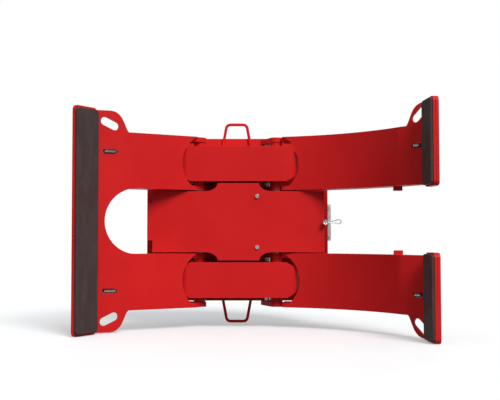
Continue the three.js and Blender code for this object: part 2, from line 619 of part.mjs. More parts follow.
const shortPadPlate = union(
  padSlab(shortPadA, shortPadB, rounded(-2, shortPadLen + PAD.rim, -PAD.halfH, PAD.halfH, 20), PAD.rubber + GAP, PAD.plate),
  ...lugHeights.flatMap(([z, h]) => [
    padLug(SHORT_HINGE, 14, [-633, -585], z, h), padLug(SHORT_HINGE, 14, [-633, -585], -z - h, h),
  ]),
);
const shortHole = rodZ(...SHORT_HINGE, 8 + GAP, -460, 460, 16);
addPainted('short_pad_plate', without(shortPadPlate, shortHole));
addPiece('short_pad_rubber', padSlab(
  shortPadA, shortPadB, rounded(2, shortPadLen - 2, -PAD.halfH + 9, PAD.halfH - 9, 16), 0, PAD.rubber,
), RUBBER, 0.85, 0);
addSteel('short_pad_hinge_pin', rodZ(...SHORT_HINGE, 8, -ARM.outer - 6, ARM.outer + 6, 16));

const longPadA = [708, -765];
const longPadB = [713, -885];
const longPadLen = distance(longPadA, longPadB);
const longPadPlate = union(
  padSlab(longPadA, longPadB, rounded(-2, longPadLen, PAD.low, PAD.halfH, 20), PAD.rubber - 2 + GAP, 9),
  padSlab(longPadA, longPadB, rounded(2, longPadLen - 4, PAD.low + 4, PAD.halfH - 4, 16), PAD.rubber + 6, 3),
  padSlab(longPadA, longPadB, rounded(-2, longPadLen, PAD.low, PAD.halfH, 20), PAD.rubber + 8.5, 12),
  ...lugHeights.map(([z, h]) => padLug(LONG_HINGE, 12, [745, -797], z, h)),
);
const longHole = rodZ(...LONG_HINGE, 6 + GAP, 100, 460, 16);
addPair('long_pad_plate', without(longPadPlate, longHole));
addPair('long_pad_rubber', padSlab(
  longPadA, longPadB, rounded(0, longPadLen - 2, PAD.low + 6, PAD.halfH - 6, 14), 0, PAD.rubber - 2,
), (name, solid) => addPiece(name, solid, RUBBER, 0.85, 0));
addPair('long_pad_hinge_pin', rodZ(...LONG_HINGE, 6, ARM.inner - 4, ARM.outer + 4, 16), addSteel);

// ---- hydraulic cylinders, each along X at rest ----
function barrel(side, z, r, bore, rodR) {
  const from = -side * CYL.anchor;
  const x = (d) => from + side * d;
  const tube = (radius, d0, d1) => rodX(anchorY, z, radius, Math.min(x(d0), x(d1)), Math.max(x(d0), x(d1)));
  return without(
    union(tube(r, 34, 268), tube(r + 4, 236, 268), plan(hull([[from, anchorY, 26], [x(30), anchorY, 26]]), z - 20, z + 20),
      tube(24, 20, 40)),
    tube(bore, 46, 250),
    tube(rodR + GAP, 200, 300),
    rodZ(from, anchorY, LEVER.pinR + GAP, z - 60, z + 60),
  );
}
function pistonRod(side, z, bore, rodR, eyeR, holeR, half) {
  const from = -side * CYL.anchor;
  const eye = side * leverX;
  const x = (d) => from + side * d;
  const tube = (radius, d0, d1) => rodX(anchorY, z, radius, Math.min(x(d0), x(d1)), Math.max(x(d0), x(d1)));
  return without(
    union(tube(bore - GAP, 88, 112), tube(rodR, 110, CYL.anchor + leverX - eyeR + 8), rodZ(eye, anchorY, eyeR, z - half, z + half)),
    rodZ(eye, anchorY, holeR, z - 60, z + 60),
  );
}
const upperMid = (BRACKET.low + BRACKET.high) / 2;
const pinHoleR = LEVER.pinR + CYL.eyeClear;
addPair('long_cylinder_barrel', barrel(1, upperMid, CYL.r, CYL.bore, CYL.rod), (name, solid) => (
  addPiece(name, solid, DARK, 0.4, 0.3)));
addPair('long_cylinder_rod', pistonRod(1, upperMid, CYL.bore, CYL.rod, 30, pinHoleR, 19), addSteel);
addPiece('short_cylinder_barrel', barrel(-1, 0, CYL.r, CYL.bore, CYL.rod), DARK, 0.4, 0.3);
addSteel('short_cylinder_rod', pistonRod(-1, 0, CYL.bore, CYL.rod, 42, LEVER.tubeR + CYL.eyeClear, 22));

// ---- pad return springs, seen as bright bars in their recesses ----
const shortSpringA = along(SHORT_BEND, SHORT_END, 64);
const shortSpring = (z) => {
  const front = 2;
  const [ax, ay] = shortSpringA;
  const [bx, by] = along(SHORT_BEND, SHORT_END, 112);
  const nx = 0.34 * front;
  const ny = -0.94 * front;
  const geometry = new THREE.CylinderGeometry(6.5, 6.5, distance([ax, ay], [bx, by]), 12);
  geometry.rotateZ(Math.PI / 2);
  geometry.rotateZ(Math.atan2(by - ay, bx - ax));
  return toSolid(geometry.translate((ax + bx) / 2 + nx, (ay + by) / 2 + ny, z));
};
addPair('short_pad_spring', shortSpring(293), addSteel);
const longSpring = (() => {
  const [ax, ay] = along(arcEnd, LONG_END, 56);
  const [bx, by] = along(arcEnd, LONG_END, 80);
  const geometry = new THREE.CylinderGeometry(6, 6, distance([ax, ay], [bx, by]), 12);
  geometry.rotateZ(Math.PI / 2);
  geometry.rotateZ(Math.atan2(by - ay, bx - ax));
  return toSolid(geometry.translate((ax + bx) / 2 - 0.669 * 3, (ay + by) / 2 - 0.743 * 3, 296));
})();
addPair('long_pad_spring', longSpring, addSteel);

export default root;
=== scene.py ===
import logging
import math
from collections.abc import Sequence
from dataclasses import dataclass, field
from enum import Enum

import bmesh
import bpy
from mathutils import Matrix, Vector


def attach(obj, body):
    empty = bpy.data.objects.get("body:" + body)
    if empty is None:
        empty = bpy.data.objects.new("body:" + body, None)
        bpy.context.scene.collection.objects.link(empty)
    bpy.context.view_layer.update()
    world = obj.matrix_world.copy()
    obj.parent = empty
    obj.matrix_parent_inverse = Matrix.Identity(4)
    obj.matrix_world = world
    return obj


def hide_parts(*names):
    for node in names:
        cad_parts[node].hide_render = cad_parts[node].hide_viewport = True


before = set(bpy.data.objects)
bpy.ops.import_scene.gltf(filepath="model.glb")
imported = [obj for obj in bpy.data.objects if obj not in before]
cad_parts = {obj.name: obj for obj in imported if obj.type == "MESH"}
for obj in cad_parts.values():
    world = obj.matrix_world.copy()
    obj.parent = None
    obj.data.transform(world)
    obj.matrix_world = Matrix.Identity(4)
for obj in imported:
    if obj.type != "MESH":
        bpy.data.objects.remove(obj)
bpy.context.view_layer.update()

LOG = logging.getLogger("roll_clamp")
Point = tuple[float, float, float]


class Slot(Enum):
    """Material slots of the record that the pieces take their finish from."""

    RED = "red_paint"
    DARK = "dark_paint"
    GREY = "grey_paint"
    RUBBER = "pad_rubber"
    STEEL = "ground_steel"
    CHROME = "chrome"


class Axis(Enum):
    """Row axis that a turned piece is turned about."""

    X = "X"
    Y = "Y"
    Z = "Z"


# ---------------------------------------------------------------- materials
def linear(hex_colour: str) -> tuple[float, float, float, float]:
    """Turns an sRGB hex colour into linear red, green, blue and alpha.

    Args:
        hex_colour: Six hex digits, without a hash sign.

    Returns:
        The linear colour with an alpha of one.
    """
    parts = [int(hex_colour[i : i + 2], 16) / 255 for i in (0, 2, 4)]
    flat = [p / 12.92 if p <= 0.04045 else ((p + 0.055) / 1.055) ** 2.4 for p in parts]
    return (flat[0], flat[1], flat[2], 1.0)


def add(
    tree: bpy.types.NodeTree,
    kind: str,
    settings: dict[str, object] | None = None,
    inputs: dict[str | int, object] | None = None,
) -> bpy.types.Node:
    """Adds one node with its settings, input values and links.

    Args:
        tree: The node tree that gets the node.
        kind: The node's type name, without its common prefix.
        settings: Attribute values of the node.
        inputs: Input name or index to a value, or to a socket that is linked to it.

    Returns:
        The new node.
    """
    node = tree.nodes.new("ShaderNode" + kind)
    for key, value in (settings or {}).items():
        setattr(node, key, value)
    for key, value in (inputs or {}).items():
        if isinstance(value, bpy.types.NodeSocket):
            tree.links.new(value, node.inputs[key])
        else:
            node.inputs[key].default_value = value
    return node


@dataclass(frozen=True)
class Mottle:
    """An uneven pattern: cell size in millimetres, its fineness, the band that counts, and what it gives."""

    size_mm: float
    band: tuple[float, float]
    gives: tuple[float, float]
    detail: float = 4.0
    rough: float = 0.6
    stretch: Point = (1.0, 1.0, 1.0)

    def socket(self, tree: bpy.types.NodeTree) -> bpy.types.NodeSocket:
        """Draws the pattern in object coordinates.

        Args:
            tree: The material's node tree.

        Returns:
            The pattern's value socket.
        """
        place = add(tree, "TexCoord").outputs["Object"]
        drawn = add(tree, "Mapping", None, {"Vector": place, "Scale": self.stretch}).outputs[0]
        pattern = add(
            tree,
            "TexNoise",
            None,
            {"Vector": drawn, "Scale": 1000 / self.size_mm, "Detail": self.detail, "Roughness": self.rough},
        )
        limits = {
            "From Min": self.band[0],
            "From Max": self.band[1],
            "To Min": self.gives[0],
            "To Max": self.gives[1],
        }
        return add(tree, "MapRange", None, {"Value": pattern.outputs[0], **limits}).outputs[0]


@dataclass(frozen=True)
class Finish:
    """Shared parts of a finish: a body colour that clouds into a second one, uneven gloss and relief."""

    name: str
    colour: str
    shade: str
    cloud: Mottle
    gloss: Mottle
    relief: Mottle
    relief_mm: float

    def layers(self, tree: bpy.types.NodeTree) -> bpy.types.NodeSocket:
        """Returns the colour socket of the finish.

        Args:
            tree: The material's node tree.
        """
        mix = {0: self.cloud.socket(tree), 6: linear(self.colour), 7: linear(self.shade)}
        return add(tree, "Mix", {"data_type": "RGBA"}, mix).outputs[2]

    def shader(self) -> dict[str, object]:
        """Returns the constant inputs of the surface shader."""
        return {}

    def build(self) -> bpy.types.Material:
        """Returns the finished material."""
        material = bpy.data.materials.new(self.name)
        material.use_nodes = True
        tree = material.node_tree
        tree.nodes.clear()
        normal = add(
            tree,
            "Bump",
            None,
            {"Height": self.relief.socket(tree), "Strength": 0.6, "Distance": self.relief_mm / 1000},
        ).outputs[0]
        inputs = {
            "Base Color": self.layers(tree),
            "Roughness": self.gloss.socket(tree),
            "Normal": normal,
            **self.shader(),
        }
        surface = add(tree, "BsdfPrincipled", None, inputs)
        add(tree, "OutputMaterial", None, {"Surface": surface.outputs[0]})
        return material


@dataclass(frozen=True)
class PaintFinish(Finish):
    """Sprayed enamel on steel plate, with a paler painted highlight along its edges and faint marks from
    handling.
    """

    # Paler colour painted along the edges as a highlight; the handling marks use it too.
    highlight_and_mark_colour: str = "ffffff"
    edge_mm: float = 3.5
    # Noise that breaks up the painted edge highlight.
    edge_highlight_breakup: Mottle = Mottle(34, (0.38, 0.62), (0.15, 0.6), 5.0, 0.65)
    marks: Mottle = Mottle(16, (0.62, 0.74), (0.0, 0.16), 6.0, 0.7, (1.0, 5.0, 8.0))
    specular: float = 0.12

    def layers(self, tree: bpy.types.NodeTree) -> bpy.types.NodeSocket:
        """Returns the colour socket with painted highlights along the edges and marks over the clouded
        paint.

        Args:
            tree: The material's node tree.
        """
        # Painted highlight: where the rounded normal turns away from the plain one, the edges take the paler
        # colour.
        rounded = add(tree, "Bevel", {"samples": 4}, {"Radius": self.edge_mm / 1000}).outputs[0]
        plain = add(tree, "NewGeometry").outputs["Normal"]
        turn = add(tree, "VectorMath", {"operation": "DOT_PRODUCT"}, {0: rounded, 1: plain}).outputs["Value"]
        limits = {"From Min": 0.995, "From Max": 0.8, "To Min": 0.0, "To Max": 1.0}
        on_edge = add(tree, "MapRange", None, {"Value": turn, **limits}).outputs[0]
        highlight_breakup = self.edge_highlight_breakup.socket(tree)
        edge_highlight = add(tree, "Math", {"operation": "MULTIPLY"}, {0: on_edge, 1: highlight_breakup}).outputs[0]
        highlighted = {0: edge_highlight, 6: Finish.layers(self, tree), 7: linear(self.highlight_and_mark_colour)}
        over = add(tree, "Mix", {"data_type": "RGBA"}, highlighted).outputs[2]
        marked = {0: self.marks.socket(tree), 6: over, 7: linear(self.highlight_and_mark_colour)}
        return add(tree, "Mix", {"data_type": "RGBA"}, marked).outputs[2]

    def shader(self) -> dict[str, object]:
        """Returns the enamel's constant inputs."""
        return {"Specular IOR Level": self.specular}


@dataclass(frozen=True)
class MetalFinish(Finish):
    """Bare or plated metal with fine lines from its tool and a little grime."""

    def shader(self) -> dict[str, object]:
        """Returns the metal's constant inputs."""
        return {"Metallic": 1.0}


@dataclass(frozen=True)
class MattFinish(Finish):
    """Moulded rubber or plain floor, without a top layer, which may carry a painted glow that stands in for
    fill light.
    """

    specular: float = 0.15
    painted_glow_colour: str = "ffffff"
    painted_glow: float = 0.0

    def shader(self) -> dict[str, object]:
        """Returns the matt surface's constant inputs."""
        return {
            "Specular IOR Level": self.specular,
            # The emission is a painted glow that stands in for fill light.
            "Emission Color": linear(self.painted_glow_colour),
            "Emission Strength": self.painted_glow,
        }


# Red enamel sprayed on welded plate: an even strong red with soft gloss, with a paler painted highlight
# along the edges.
RED_ENAMEL = PaintFinish(
    name="red enamel sprayed on plate",
    colour="cc1d1e",
    shade="bf171a",
    cloud=Mottle(260, (0.35, 0.65), (0.0, 0.6)),
    gloss=Mottle(70, (0.3, 0.7), (0.38, 0.52), 5.0),
    relief=Mottle(5, (0.2, 0.8), (0.0, 1.0), 2.0, 0.5),
    relief_mm=0.05,
    # Paler red painted along the edges as a highlight, also the colour of the marks.
    highlight_and_mark_colour="e2504e",
)
# Black enamel on the truck side and the barrels: flatter than the red, with a grey painted highlight along
# the edges.
BLACK_ENAMEL = PaintFinish(
    name="black enamel brushed on plate",
    colour="262423",
    shade="1c1b1b",
    cloud=Mottle(120, (0.35, 0.65), (0.0, 0.8)),
    gloss=Mottle(50, (0.3, 0.7), (0.42, 0.6), 5.0),
    relief=Mottle(6, (0.2, 0.8), (0.0, 1.0), 3.0, 0.6),
    relief_mm=0.1,
    # Grey painted along the edges as a highlight, also the colour of the marks.
    highlight_and_mark_colour="6a6866",
    specular=0.3,
)
# Grey paint over iron castings: the sand mould's coarse skin shows through the paint.
GREY_CASTING = PaintFinish(
    name="grey paint on iron casting",
    colour="dadbda",
    shade="bfc1c1",
    cloud=Mottle(55, (0.35, 0.7), (0.0, 0.7), 5.0),
    gloss=Mottle(12, (0.3, 0.7), (0.46, 0.64)),
    relief=Mottle(5, (0.2, 0.8), (0.0, 1.0), 5.0, 0.7),
    relief_mm=0.5,
    # Paler grey painted along the edges as a highlight, also the colour of the marks.
    highlight_and_mark_colour="e4e4e2",
    specular=0.3,
)
# Moulded rubber facing: near black, greyed by paper dust in upright streaks, with a fine pebble grain.
PAD_RUBBER = MattFinish(
    name="moulded pad rubber",
    colour="403433",
    shade="4a4443",
    cloud=Mottle(40, (0.42, 0.70), (0.0, 0.7), 5.0, 0.65, (1.0, 1.0, 0.3)),
    gloss=Mottle(25, (0.3, 0.7), (0.6, 0.8)),
    # The real grain is about 1 mm; it is drawn at 4 mm so that it shows.
    relief=Mottle(4, (0.2, 0.8), (0.0, 1.0), 2.0, 0.6),
    relief_mm=0.3,
)
# Ground pin and bearing steel: a satin grey with fine turning lines and an oily film.
GROUND_STEEL = MetalFinish(
    name="ground bearing steel",
    colour="b3b5b8",
    shade="7b766f",
    cloud=Mottle(45, (0.5, 0.75), (0.0, 0.6)),
    gloss=Mottle(40, (0.3, 0.7), (0.24, 0.42)),
    relief=Mottle(2, (0.2, 0.8), (0.0, 1.0), 3.0, 0.6, (1.0, 1.0, 0.05)),
    relief_mm=0.04,
)
# Hard chrome on rods and small fittings: bright and nearly smooth, with a dull film in patches.
HARD_CHROME = MetalFinish(
    name="hard chrome plate",
    colour="dfe1e4",
    shade="a8a6a3",
    cloud=Mottle(30, (0.5, 0.75), (0.0, 0.6)),
    gloss=Mottle(25, (0.3, 0.7), (0.08, 0.2)),
    relief=Mottle(2, (0.2, 0.8), (0.0, 1.0), 3.0, 0.6, (0.05, 1.0, 1.0)),
    relief_mm=0.01,
)
# Pale studio floor with a painted glow of its own that stands in for fill light, so shadows on it stay pale.
PALE_FLOOR = MattFinish(
    name="pale studio floor with painted glow",
    colour="cfd0d0",
    shade="cdcece",
    cloud=Mottle(400, (0.3, 0.7), (0.0, 1.0), 2.0),
    gloss=Mottle(300, (0.3, 0.7), (0.55, 0.65)),
    relief=Mottle(20, (0.2, 0.8), (0.0, 1.0), 2.0),
    relief_mm=0.02,
    painted_glow_colour="f8fcff",
    painted_glow=0.33,
)


@dataclass
class Palette:
    """The finishes, built once and shared by the pieces of their slot."""

    made: dict[Slot, bpy.types.Material] = field(default_factory=dict)

    def build(self) -> None:
        """Builds every finish."""
        recipes = {
            Slot.RED: RED_ENAMEL,
            Slot.DARK: BLACK_ENAMEL,
            Slot.GREY: GREY_CASTING,
            Slot.RUBBER: PAD_RUBBER,
            Slot.STEEL: GROUND_STEEL,
            Slot.CHROME: HARD_CHROME,
        }
        for slot, recipe in recipes.items():
            self.made[slot] = recipe.build()

    def dress(self, piece: bpy.types.Object, slot: Slot) -> None:
        """Gives a piece its material.

        Args:
            piece: The piece.
            slot: The slot that it takes its finish from.
        """
        piece.data.materials.clear()
        piece.data.materials.append(self.made[slot])


# ---------------------------------------------------------------- mesh tools
def m(*values: float) -> Vector:
    """Returns millimetre values as a vector in metres."""
    return Vector(tuple(v / 1000 for v in values))


def finish_mesh(bm: bmesh.types.BMesh, name: str, smooth_deg: float = 32.0) -> bpy.types.Object:
    """Turns an edit mesh into an object with smooth curved faces and crisp corners.

    Args:
        bm: The edit mesh, which is freed.
        name: The object's name.
        smooth_deg: Edges sharper than this stay crisp.

    Returns:
        The new object.
    """
    data = bpy.data.meshes.new(name)
    bm.to_mesh(data)
    bm.free()
    data.polygons.foreach_set("use_smooth", [True] * len(data.polygons))
    data.set_sharp_from_angle(angle=math.radians(smooth_deg))
    piece = bpy.data.objects.new(name, data)
    bpy.context.collection.objects.link(piece)
    # Large flat faces keep flat shading beside the rounded corners.
    weigh = piece.modifiers.new("flat faces", "WEIGHTED_NORMAL")
    weigh.keep_sharp = True
    weigh.weight = 100
    return piece


def bevel_corners(bm: bmesh.types.BMesh, width: float, segments: int, sharper_than: float = 30.0) -> None:
    """Rounds the corners of an edit mesh.

    Args:
        bm: The edit mesh.
        width: Size of the rounding in metres.
        segments: Faces across the rounding.
        sharper_than: Edges flatter than this many degrees are left.
    """
    limit = math.radians(sharper_than)
    edges = [e for e in bm.edges if len(e.link_faces) == 2 and e.calc_face_angle(0.0) > limit]
    bmesh.ops.bevel(
        bm,
        geom=edges,
        offset=width,
        offset_type="OFFSET",
        segments=segments,
        profile=0.5,
        affect="EDGES",
        clamp_overlap=True,
        material=-1,
    )


def turned(
    profile: Sequence[tuple[float, float]],
    axis: Axis,
    at: Point,
    steps: int = 56,
    bm: bmesh.types.BMesh | None = None,
) -> bmesh.types.BMesh:
    """Turns a profile about an axis.

    Args:
        profile: Radius and distance along the axis, in millimetres, from one end on the axis to the other,
            or a closed run that stays clear of the axis.
        axis: The row axis that it is turned about.
        at: A point on the axis, in millimetres, from which the distances count.
        steps: Facets of the full turn.
        bm: An edit mesh to add to.

    Returns:
        The edit mesh.
    """
    part = bmesh.new()
    verts = [part.verts.new((r / 1000, 0.0, d / 1000)) for r, d in profile]
    hollow = min(r for r, _ in profile) > 0.001
    count = len(verts) if hollow else len(verts) - 1
    edges = [part.edges.new((verts[i], verts[(i + 1) % len(verts)])) for i in range(count)]
    bmesh.ops.spin(
        part,
        geom=verts + edges,
        cent=(0.0, 0.0, 0.0),
        axis=(0.0, 0.0, 1.0),
        angle=2 * math.pi,
        steps=steps,
        use_merge=True,
    )
    bmesh.ops.remove_doubles(part, verts=part.verts, dist=1e-6)
    bmesh.ops.recalc_face_normals(part, faces=part.faces)
    turn = {
        Axis.Z: Matrix.Identity(4),
        Axis.X: Matrix.Rotation(math.pi / 2, 4, "Y"),
        Axis.Y: Matrix.Rotation(-math.pi / 2, 4, "X"),
    }[axis]
    bmesh.ops.transform(part, matrix=Matrix.Translation(m(*at)) @ turn, verts=part.verts)
    if bm is None:
        return part
    joined = bpy.data.meshes.new("joined")
    part.to_mesh(joined)
    part.free()
    bm.from_mesh(joined)
    bpy.data.meshes.remove(joined)
    return bm


def pin_profile(radius: float, low: float, high: float, chamfer: float = 2.0) -> list[tuple[float, float]]:
    """Returns the profile of a plain pin with chamfered, centre-drilled ends.

    Args:
        radius: Pin radius in millimetres.
        low: Lower end.
        high: Upper end.
        chamfer: Size of the end chamfer.

    Returns:
        Profile points of radius and height.
    """
    dimple = radius * 0.22
    return [
        (0.0, low + 3.0),
        (dimple, low + 0.4),
        (dimple + 0.8, low),
        (radius - chamfer, low),
        (radius - 0.3 * chamfer, low + 0.3 * chamfer),
        (radius, low + chamfer),
        (radius, high - chamfer),
        (radius - 0.3 * chamfer, high - 0.3 * chamfer),
        (radius - chamfer, high),
        (dimple + 0.8, high),
        (dimple, high - 0.4),
        (0.0, high - 3.0),
    ]


def swept_bar(name: str, points: Sequence[Point], radius: float, sides: int = 3) -> bpy.types.Object:
    """Bends a round bar along a path.

    Args:
        name: The piece's name.
        points: Path points in millimetres.
        radius: Bar radius in millimetres.
        sides: Curve resolution of the bar's section.

    Returns:
        The bar as a mesh object.
    """
    curve = bpy.data.curves.new(name, "CURVE")
    curve.dimensions = "3D"
    curve.bevel_depth = radius / 1000
    curve.bevel_resolution = sides
    curve.use_fill_caps = True
    spline = curve.splines.new("POLY")
    spline.points.add(len(points) - 1)
    for knot, point in zip(spline.points, points):
        knot.co = (*m(*point), 1.0)
    holder = bpy.data.objects.new(name + "_path", curve)
    bpy.context.collection.objects.link(holder)
    data = bpy.data.meshes.new_from_object(holder)
    bpy.data.objects.remove(holder)
    bpy.data.curves.remove(curve)
    data.name = name
    data.polygons.foreach_set("use_smooth", [True] * len(data.polygons))
    data.set_sharp_from_angle(angle=math.radians(40))
    piece = bpy.data.objects.new(name, data)
    bpy.context.collection.objects.link(piece)
    return piece


def rounded_path(corners: Sequence[Point], radius: float, steps: int = 8) -> list[Point]:
    """Rounds the inner corners of a path with arcs.

    Args:
        corners: Corner points in millimetres.
        radius: Distance from each corner at which its curve starts.
        steps: Points along each curve.

    Returns:
        The path's points.
    """
    path: list[Point] = [corners[0]]
    for before, corner, after in zip(corners, corners[1:], corners[2:]):
        p0, p1, p2 = (Vector(p) for p in (before, corner, after))
        a = p1 + (p0 - p1).normalized() * radius
        b = p1 + (p2 - p1).normalized() * radius
        for i in range(steps + 1):
            t = i / steps
            q = a.lerp(p1, t).lerp(p1.lerp(b, t), t)
            path.append((q.x, q.y, q.z))
    path.append(corners[-1])
    return path


def hex_bolt(at: Point, axis: Axis, radius: float, sign: float, washer: bool = True) -> bmesh.types.BMesh:
    """Models a hexagon bolt head with its washer.

    Args:
        at: Centre of the seat in millimetres.
        axis: The bolt's axis.
        radius: Half the head's width across corners, in millimetres.
        sign: Direction along the axis in which the head stands up.
        washer: Whether a washer lies under the head.

    Returns:
        The edit mesh.
    """
    base = 2.2 if washer else 0.0
    height = radius * 0.72
    bm = bmesh.new()
    bmesh.ops.create_cone(
        bm,
        cap_ends=True,
        segments=6,
        radius1=radius / 1000,
        radius2=radius / 1000,
        depth=height / 1000,
        matrix=Matrix.Translation(m(0, 0, base + height / 2)),
    )
    bevel_corners(bm, 0.0009, 2, 20.0)
    if washer:
        bore, rim = radius * 0.5, radius * 1.22
        turned([(bore, 0.0), (rim, 0.0), (rim, 1.9), (bore, 1.9)], Axis.Z, (0, 0, 0), 32, bm)
    flip = Matrix.Identity(4) if sign > 0 else Matrix.Rotation(math.pi, 4, "X")
    turn = {
        Axis.Z: Matrix.Identity(4),
        Axis.X: Matrix.Rotation(math.pi / 2, 4, "Y"),
        Axis.Y: Matrix.Rotation(-math.pi / 2, 4, "X"),
    }[axis]
    bmesh.ops.transform(bm, matrix=Matrix.Translation(m(*at)) @ turn @ flip, verts=bm.verts)
    return bm


def coil(start: Point, end: Point, radius: float, wire: float, turns: int) -> bmesh.types.BMesh:
    """Winds a close tension spring between two points.

    Args:
        start: One end of the coil in millimetres.
        end: The other end.
        radius: Radius of the coil's middle line.
        wire: Radius of the wire.
        turns: Number of turns.

    Returns:
        The edit mesh.
    """
    span = Vector(end) - Vector(start)
    steps = 14 * turns
    bm = bmesh.new()
    ring = bmesh.ops.create_circle(bm, cap_ends=True, segments=8, radius=wire / 1000)
    stand = Matrix.Translation(m(radius, 0, 0)) @ Matrix.Rotation(math.pi / 2, 4, "X")
    bmesh.ops.transform(bm, matrix=stand, verts=ring["verts"])
    bmesh.ops.spin(
        bm,
        geom=bm.verts[:] + bm.edges[:] + bm.faces[:],
        cent=(0.0, 0.0, 0.0),
        axis=(0.0, 0.0, 1.0),
        dvec=(0.0, 0.0, span.length / 1000 / steps),
        angle=2 * math.pi * turns,
        steps=steps,
        use_merge=False,
    )
    bmesh.ops.recalc_face_normals(bm, faces=bm.faces)
    aim = span.to_track_quat("Z", "Y").to_matrix().to_4x4()
    bmesh.ops.transform(bm, matrix=Matrix.Translation(m(*start)) @ aim, verts=bm.verts)
    return bm


def slot_shade_plate(
    at: Point, turn_deg: float, length: float, height: float, thick: float = 2.0
) -> bmesh.types.BMesh:
    """Cuts a thin round-ended plate that closes a slot from behind, as painted shade where the hollow behind
    the slot is dark.

    Args:
        at: Middle of its front face in millimetres.
        turn_deg: Turn about the upright axis.
        length: Length over the round ends.
        height: Height of the plate.
        thick: Its thickness, which goes backwards.

    Returns:
        The edit mesh.
    """
    bm = bmesh.new()
    radius = height / 2
    reach = length / 2 - radius
    rim = []
    for side, start in ((1.0, -90.0), (-1.0, 90.0)):
        for i in range(13):
            a = math.radians(start + 15.0 * i)
            rim.append(bm.verts.new(m(side * reach + radius * math.cos(a), 0.0, radius * math.sin(a))))
    pushed = bmesh.ops.extrude_face_region(bm, geom=[bm.faces.new(rim)])["geom"]
    back = [v for v in pushed if isinstance(v, bmesh.types.BMVert)]
    bmesh.ops.translate(bm, verts=back, vec=m(0.0, thick, 0.0))
    bmesh.ops.recalc_face_normals(bm, faces=bm.faces)
    bevel_corners(bm, 0.0004, 1, 50.0)
    place = Matrix.Translation(m(*at)) @ Matrix.Rotation(math.radians(turn_deg), 4, "Z")
    bmesh.ops.transform(bm, matrix=place, verts=bm.verts)
    return bm


@dataclass
class Shop:
    """Makes pieces, puts them on their bodies and keeps count."""

    palette: Palette
    count: int = 0

    def fit(self, piece: bpy.types.Object, body: str, slot: Slot, stands_for: Sequence[str] = ()) -> None:
        """Dresses a piece, puts it on its body and hides the CAD nodes that it stands for.

        Args:
            piece: The piece.
            body: The body that it moves with.
            slot: The slot of its finish.
            stands_for: CAD nodes that it replaces.
        """
        self.palette.dress(piece, slot)
        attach(piece, body)
        if stands_for:
            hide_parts(*stands_for)
        self.count += 1
        LOG.info("piece %s on %s", piece.name, body)

    def refine(
        self,
        node: str,
        body: str,
        slot: Slot,
        width: float,
        segments: int = 2,
    ) -> bpy.types.Object:
        """Replaces a CAD node by a merged copy with rounded corners.

        Args:
            node: The CAD node.
            body: Its body.
            slot: The slot of its finish.
            width: Corner rounding in millimetres.
            segments: Faces across the rounding.

        Returns:
            The new piece.
        """
        bm = bmesh.new()
        bm.from_mesh(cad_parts[node].data)
        bmesh.ops.remove_doubles(bm, verts=bm.verts, dist=2e-5)
        bmesh.ops.dissolve_limit(
            bm, angle_limit=math.radians(0.6), verts=bm.verts, edges=bm.edges, use_dissolve_boundaries=False
        )
        bevel_corners(bm, width / 1000, segments)
        piece = finish_mesh(bm, node + "_rounded")
        self.fit(piece, body, slot, [node])
        return piece

    def lathe(
        self,
        name: str,
        body: str,
        slot: Slot,
        profile: Sequence[tuple[float, float]],
        axis: Axis,
        at: Point,
        stands_for: Sequence[str] = (),
    ) -> None:
        """Makes one turned piece.

        Args:
            name: The piece's name.
            body: The body that it moves with.
            slot: The slot of its finish.
            profile: Radius and distance pairs in millimetres.
            axis: The axis that it is turned about.
            at: A point on that axis.
            stands_for: CAD nodes that it replaces.
        """
        self.fit(finish_mesh(turned(profile, axis, at), name), body, slot, stands_for)


# ---------------------------------------------------------------- sub-assemblies
# Which way each half of the clamp lies from the middle.
HALVES = {"upper": 1.0, "lower": -1.0}
# Depth of the line that the three cylinders lie on, in millimetres.
CYLINDER_Y = -166.33
# Distance of a cylinder's anchor pin from the middle, and the radius of the anchor and lever pins.
ANCHOR_X = 200.0
LINK_PIN_R = 14.5
# Distances of the arm pins' ends from the middle.
PIN_INNER = 136.0
PIN_OUTER = 377.0


@dataclass
class TruckMount:
    """Mounting plate with its carriage hooks: the side that stays on the truck."""

    bolt_x: tuple[float, float] = (28.0, 28.0)
    hook_x: float = 190.0
    half_height: float = 254.0

    def build(self, shop: Shop) -> None:
        """Builds the plate, the hooks and their bolts."""
        shop.refine("mounting_plate", "mount", Slot.DARK, 2.5)
        shop.refine("upper_hook", "mount", Slot.DARK, 2.5)
        for side, label in ((-1, "left"), (1, "right")):
            shop.refine(f"lower_hook_{label}", "mount", Slot.DARK, 2.5)
            for k, shift in enumerate((-self.bolt_x[0], self.bolt_x[1])):
                x = side * self.hook_x + shift
                head = hex_bolt((x, -25.2, -self.half_height + 24.0), Axis.Y, 12.0, -1.0)
                shop.fit(finish_mesh(head, f"lower_hook_bolt_{label}_{k}"), "mount", Slot.STEEL)


